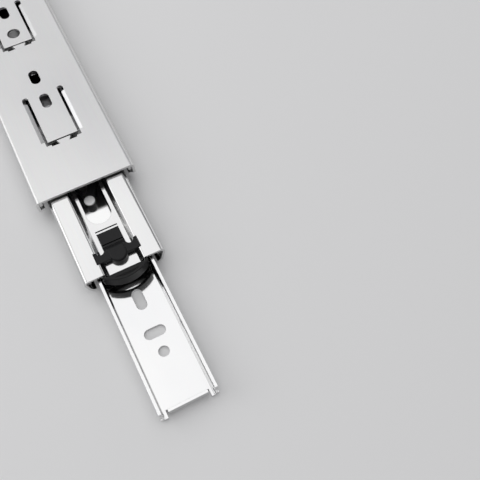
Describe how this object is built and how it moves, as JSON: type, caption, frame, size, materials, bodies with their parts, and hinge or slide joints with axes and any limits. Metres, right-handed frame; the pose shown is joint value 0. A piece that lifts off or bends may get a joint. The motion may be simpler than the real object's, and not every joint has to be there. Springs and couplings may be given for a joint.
{
  "type": "drawer slide",
  "caption": "Full-extension ball-bearing drawer slide: telescoping steel channels with ball cages, a plastic front bumper and a release lever, shown partly pulled out.",
  "frame": {"origin": "centre of the slide's footprint in this partly open pose, on the drawer face of the inner member", "axes": "+X is the pull-out direction, +Y runs across the slide, +Z points to the cabinet side"},
  "size_m": [0.4056, 0.0454, 0.0127],
  "materials": {
    "zinc_plate_satin": "bright zinc plate with a fine lengthwise rolling grain, satin",
    "zinc_plate_bright": "bright zinc plate on cold-rolled strip, nearly mirror",
    "cage_steel": "thin stamped steel, lightly oiled",
    "ball_steel": "polished bearing balls",
    "rivet_steel": "plated headed pin",
    "black_plastic": "moulded acetal, satin",
    "lever_plastic": "moulded acetal, satin"
  },
  "bodies": {
    "cabinet_side": {"outer_member": "zinc_plate_satin", "rear_bumper": "black_plastic", "rear_bumper_rivet": "rivet_steel"},
    "outer_cage": {"outer_ball_cage": "cage_steel", "outer_balls_left": "ball_steel", "outer_balls_right": "ball_steel"},
    "intermediate": {"intermediate_member": "zinc_plate_bright", "front_bumper": "black_plastic"},
    "inner_cage": {"inner_ball_cage": "cage_steel", "inner_balls_left": "ball_steel", "inner_balls_right": "ball_steel"},
    "drawer_side": {"inner_member": "zinc_plate_bright", "lever_pin": "rivet_steel"},
    "lever": {"release_lever": "lever_plastic"}
  },
  "joints": [
    {"name": "intermediate_slide", "type": "slide", "parent": "cabinet_side", "child": "intermediate", "axis": [1, 0, 0], "range_m": [-0.0474, 0.1026]},
    {"name": "outer_cage_roll", "type": "slide", "parent": "cabinet_side", "child": "outer_cage", "axis": [1, 0, 0], "range_m": [-0.0237, 0.0513]},
    {"name": "inner_slide", "type": "slide", "parent": "intermediate", "child": "drawer_side", "axis": [1, 0, 0], "range_m": [-0.0561, 0.0939]},
    {"name": "inner_cage_roll", "type": "slide", "parent": "intermediate", "child": "inner_cage", "axis": [1, 0, 0], "range_m": [-0.02805, 0.04695]},
    {"name": "release_lever_hinge", "type": "hinge", "parent": "drawer_side", "child": "lever", "pos_m": [0.1004, -0.0012, 0.0026], "axis": [0, 0, 1], "range_deg": [0, 4], "stiffness_Nm_per_rad": 0.4, "springref_deg": -1.15}
  ],
  "couplings": [
    {"joint": "outer_cage_roll", "follows": "intermediate_slide", "ratio": 0.5},
    {"joint": "inner_cage_roll", "follows": "inner_slide", "ratio": 0.5}
  ]
}
